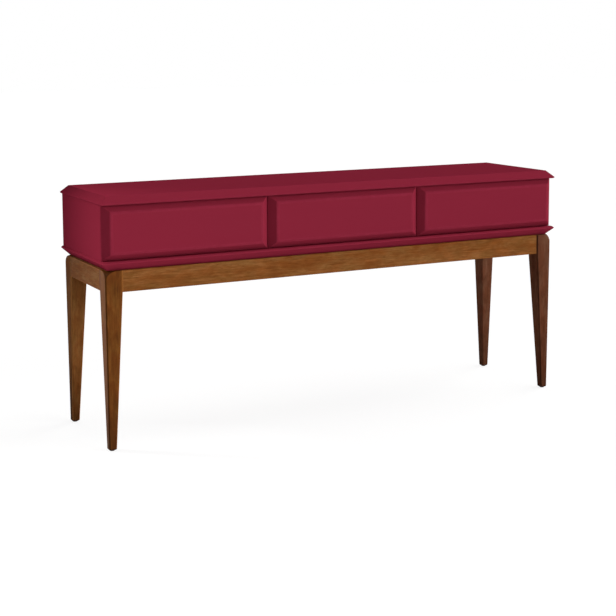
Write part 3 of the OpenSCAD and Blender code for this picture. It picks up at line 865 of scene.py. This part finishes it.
def cross_screw():
    """Pan head with a cross recess, on the origin, pointing up."""
    head = start_disc("cross_screw", SCREW_HEAD_R, SCREW_HEAD_H, SCREW_FACETS)
    ease(head, SCREW_DOME, 3, lies_at(Z, SCREW_HEAD_H))
    for x, y in ((RECESS_REACH, RECESS_HALF_W), (RECESS_HALF_W, RECESS_REACH)):
        cutter = start_box("cutter", (-x, -y, RECESS_FLOOR), (x, y, 2 * SCREW_HEAD_H))
        apply_modifier(head, "BOOLEAN", object=cutter, operation="DIFFERENCE", solver="EXACT")
        remove(cutter)
    smooth(head)
    return head


def screw_row(head, turn, x, z, low, high, shares):
    """Heads at these shares of the way from the front to the back of a slide."""
    return [copy_at(head, turn, (x, low.y + share * (high.y - low.y), z)) for share in shares]


def slide_screws(head):
    """Screw heads of the slides, those of each drawer as one piece and those on the case as another."""
    on_case = []
    for i in DRAWERS:
        low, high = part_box(f"slide_outer_{i}")
        left, right = box_faces(i)
        z = (low.z + high.z) / 2
        on_case += screw_row(head, TO_RIGHT, low.x + SHEET, z, low, high, OUTER_SCREW_SHARES)
        on_case += screw_row(head, TO_LEFT, high.x - SHEET, z, low, high, OUTER_SCREW_SHARES)
        on_drawer = screw_row(head, TO_LEFT, left - SHEET, z, low, high, INNER_SCREW_SHARES)
        on_drawer += screw_row(head, TO_RIGHT, right + SHEET, z, low, high, INNER_SCREW_SHARES)
        dress(join(f"drawer_slide_screw_heads_{i}", on_drawer), SCREW_STEEL, f"drawer_{i}", "zinc_screws",
              f"drawer_slide_screws_{i}")
    dress(join("slide_case_screw_heads", on_case), SCREW_STEEL, "case", "zinc_screws", "slide_case_screws")


def back_screws(head):
    """Screw heads of the back panel, into the end panels and the partitions."""
    low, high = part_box("back_panel")
    xs = [(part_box("left_end_panel")[1].x + low.x) / 2, (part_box("right_end_panel")[0].x + high.x) / 2]
    for node in ("left_partition", "right_partition"):
        left, right = (corner.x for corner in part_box(node))
        xs.append((left + right) / 2)
    heads = [copy_at(head, TO_BACK, (x, high.y, z))
             for x in xs
             for z in inset_pair(low.z, high.z, SCREW_BACK_INSET)]
    dress(join("back_panel_screw_heads", heads), SCREW_STEEL, "case", "zinc_screws", "back_panel_screws")


# The table

top_slab()
bottom_slab()
end_board("left_end_panel", LEFT)
end_board("right_end_panel", RIGHT)
# Leg edge tones: light ones are worn edges with a painted highlight; dark ones are painted shade on the left
# legs' outer chamfers and shoulders, and a painted contact shadow where the right legs meet the apron
leg("front_left_leg", LEFT, FRONT, LEFT_LEG_WOOD, inner_edge=LIGHT, outer_edge=DARK, rear_edge=LIGHT)
leg("back_left_leg", LEFT, BACK, BACK_LEG_WOOD_PAINTED_LIGHT, inner_edge=LIGHT, outer_edge=DARK, rear_edge=LIGHT)
leg("front_right_leg", RIGHT, FRONT, RIGHT_LEG_WOOD, inner_edge=DARK, outer_edge=PLAIN, rear_edge=PLAIN)
leg("back_right_leg", RIGHT, BACK, RIGHT_LEG_WOOD, inner_edge=DARK, outer_edge=PLAIN, rear_edge=PLAIN)
long_apron("front_apron", FRONT)
long_apron("back_apron", BACK)
side_apron("left_apron")
side_apron("right_apron")
foot_glides()
for i in DRAWERS:
    drawer_front(i)
    drawer_box(i)
    slides(i)
    slide_cages(i)
    buffers(i)
    finish_node(BIRCH_BACK, f"drawer_bottom_{i}", f"drawer_dowels_{i}")
screw_head = cross_screw()
slide_screws(screw_head)
back_screws(screw_head)
remove(screw_head)
finish_node(LACQUER, "left_partition", "right_partition")
finish_node(LACQUER_BACK, "back_panel")
finish_node(BIRCH_BACK, "case_dowels")
finish_node(BLOCK_WOOD, "corner_blocks")
finish_node(SCREW_STEEL, "block_screws", "case_screws")


# Studio

FLOOR_SIZE = 60
WHITE = (1, 1, 1, 1)


def shown_or_reflected(tree):
    """1 for rays that show the background in the picture or in a reflection, 0 for the light it gives."""
    path = tree.nodes.new("ShaderNodeLightPath")
    seen = path.outputs["Is Camera Ray"]
    for name in ("Is Glossy Ray", "Is Transmission Ray"):
        node = tree.nodes.new("ShaderNodeMath")
        node.operation = "MAXIMUM"
        tree.links.new(seen, node.inputs[0])
        tree.links.new(path.outputs[name], node.inputs[1])
        seen = node.outputs[0]
    return seen


def light_or_show(tree, lit, shown, output):
    """Joins a shader for the light that the background gives and one for how it shows."""
    mix = tree.nodes.new("ShaderNodeMixShader")
    tree.links.new(shown_or_reflected(tree), mix.inputs["Fac"])
    tree.links.new(lit.outputs[0], mix.inputs[1])
    tree.links.new(shown.outputs[0], mix.inputs[2])
    tree.links.new(mix.outputs[0], tree.nodes[output].inputs["Surface"])


def studio_world(ambient):
    """White where it shows, and a plain pale ambient light."""
    world = bpy.data.worlds.new("studio")
    bpy.context.scene.world = world
    world.use_nodes = True
    tree = world.node_tree
    shown = tree.nodes["Background"]
    shown.inputs["Color"].default_value = WHITE
    shown.inputs["Strength"].default_value = 1.0
    lit = tree.nodes.new("ShaderNodeBackground")
    lit.inputs["Color"].default_value = WHITE
    lit.inputs["Strength"].default_value = ambient
    light_or_show(tree, lit, shown, "World Output")


def studio_floor(bounce, glow, shadow):
    """Pale floor: it gives back light as a matt surface, and shows as white with a faint shadow."""
    bpy.ops.object.select_all(action="DESELECT")
    bpy.ops.mesh.primitive_plane_add(size=FLOOR_SIZE)
    floor = bpy.context.object
    floor.name = "studio_floor"
    material = bpy.data.materials.new("pale_floor")
    material.use_nodes = True
    tree = material.node_tree
    tree.nodes.remove(tree.nodes["Principled BSDF"])
    lit = tree.nodes.new("ShaderNodeBsdfDiffuse")
    lit.inputs["Color"].default_value = shade(WHITE, bounce)
    shadowed = tree.nodes.new("ShaderNodeBsdfDiffuse")
    shadowed.inputs["Color"].default_value = shade(WHITE, shadow)
    white = tree.nodes.new("ShaderNodeEmission")
    white.inputs["Strength"].default_value = glow
    shown = tree.nodes.new("ShaderNodeAddShader")
    tree.links.new(shadowed.outputs[0], shown.inputs[0])
    tree.links.new(white.outputs[0], shown.inputs[1])
    light_or_show(tree, lit, shown, "Material Output")
    floor.data.materials.append(material)


def hang(name, lamp, direction):
    """A light that shines in this direction."""
    light = bpy.data.objects.new(name, lamp)
    bpy.context.scene.collection.objects.link(light)
    light.rotation_euler = direction.to_track_quat("-Z", "Y").to_euler()
    return light


def soft_light(name, azimuth, elevation, level, spread):
    """Wide soft light from far off. Azimuth 0 is in front and 90 to the right; level 1 lights white as
    white."""
    lamp = bpy.data.lights.new(name, "SUN")
    lamp.energy = level * math.pi
    lamp.angle = math.radians(spread)
    turn, rise = math.radians(azimuth), math.radians(elevation)
    towards = Vector((math.sin(turn) * math.cos(rise), -math.cos(turn) * math.cos(rise), math.sin(rise)))
    hang(name, lamp, -towards)


def gridded_softbox(name, place, aim, size, power, beam):
    """Round softbox with a grid that keeps its light in a narrow beam."""
    lamp = bpy.data.lights.new(name, "AREA")
    lamp.shape = "DISK"
    lamp.size = size
    lamp.energy = power
    lamp.spread = math.radians(beam)
    light = hang(name, lamp, Vector(aim) - Vector(place))
    light.location = place
    light.visible_camera = False


def camera():
    """Camera at the photograph's viewing angle."""
    lens = bpy.data.cameras.new("camera")
    lens.sensor_width = CAMERA_SENSOR
    lens.lens = CAMERA_LENS
    lens.shift_y = -CAMERA_SHIFT
    view = bpy.data.objects.new("camera", lens)
    bpy.context.scene.collection.objects.link(view)
    view.location = CAMERA_PLACE
    view.rotation_euler = [math.radians(angle) for angle in CAMERA_TURN]
    bpy.context.scene.camera = view


studio_world(ambient=0.21)
studio_floor(bounce=0.72, glow=0.86, shadow=0.2)
soft_light("front_softbox", azimuth=45, elevation=3, level=1.27, spread=50)
soft_light("right_softbox", azimuth=95, elevation=50, level=0.44, spread=40)
soft_light("back_softbox", azimuth=180, elevation=20, level=0.25, spread=40)
gridded_softbox("left_softbox", place=(-1.9, 0.7, 1.35), aim=(-1.1, -0.7, 0.35), size=0.25, power=4.7,
                beam=60)
camera()
bpy.context.scene.view_settings.view_transform = "Standard"
